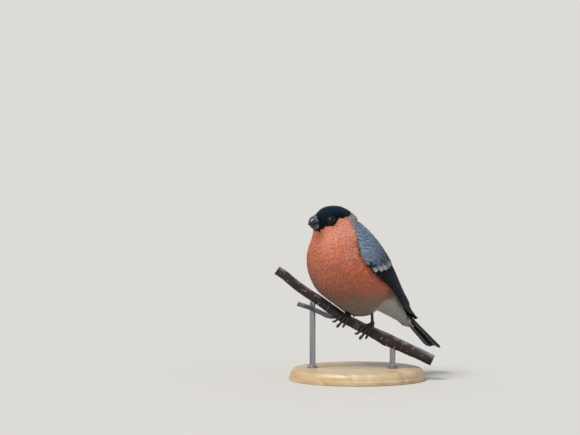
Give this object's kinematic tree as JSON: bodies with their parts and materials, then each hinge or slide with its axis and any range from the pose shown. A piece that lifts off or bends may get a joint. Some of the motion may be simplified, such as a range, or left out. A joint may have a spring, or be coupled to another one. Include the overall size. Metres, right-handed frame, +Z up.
{
  "type": "perched bullfinch model",
  "caption": "Life-size still model of a male bullfinch with fluffed plumage, perched on a cut length of branch held by a plain round stand.",
  "frame": {"origin": "middle of the round base's underside, on the surface the stand rests on", "axes": "+Z up; the bird faces -Y, so +X is its left side and its tail points to +Y and down"},
  "size_m": [0.092, 0.1147, 0.1193],
  "materials": {
    "cap_feather": "dense black body feathers with a blue gloss",
    "breast_feather": "soft matte salmon-red body feathers",
    "white_feather": "loose white down-like feathers",
    "mantle_feather": "soft matte blue-grey body feathers",
    "flight_feather": "firm black vanes with a blue-violet gloss",
    "bill": "dark horn with a satin sheen",
    "eye": "wet dark brown",
    "leg": "fine scales, satin",
    "claw": "dark horn, satin",
    "bark": "smooth reddish-brown bark with a grey bloom and pale pores",
    "maple": "sanded maple, satin lacquer",
    "steel": "satin turned steel"
  },
  "bodies": {
    "root": {"claw_left_hind": "claw", "claw_left_inner": "claw", "claw_left_middle": "claw", "claw_left_outer": "claw", "claw_right_hind": "claw", "claw_right_inner": "claw", "claw_right_middle": "claw", "claw_right_outer": "claw", "eye_left": "eye", "eye_right": "eye", "foot_left": "leg", "foot_right": "leg", "head": "cap_feather", "lower_bill": "bill", "mantle": "mantle_feather", "neck": "breast_feather", "perch": "bark", "rump": "white_feather", "shank_left": "leg", "shank_right": "leg", "stand_base": "maple", "stand_rod_1": "steel", "stand_rod_2": "steel", "tail": "flight_feather", "torso": "breast_feather", "upper_bill": "bill", "wing_left": "flight_feather", "wing_right": "flight_feather"}
  },
  "joints": []
}
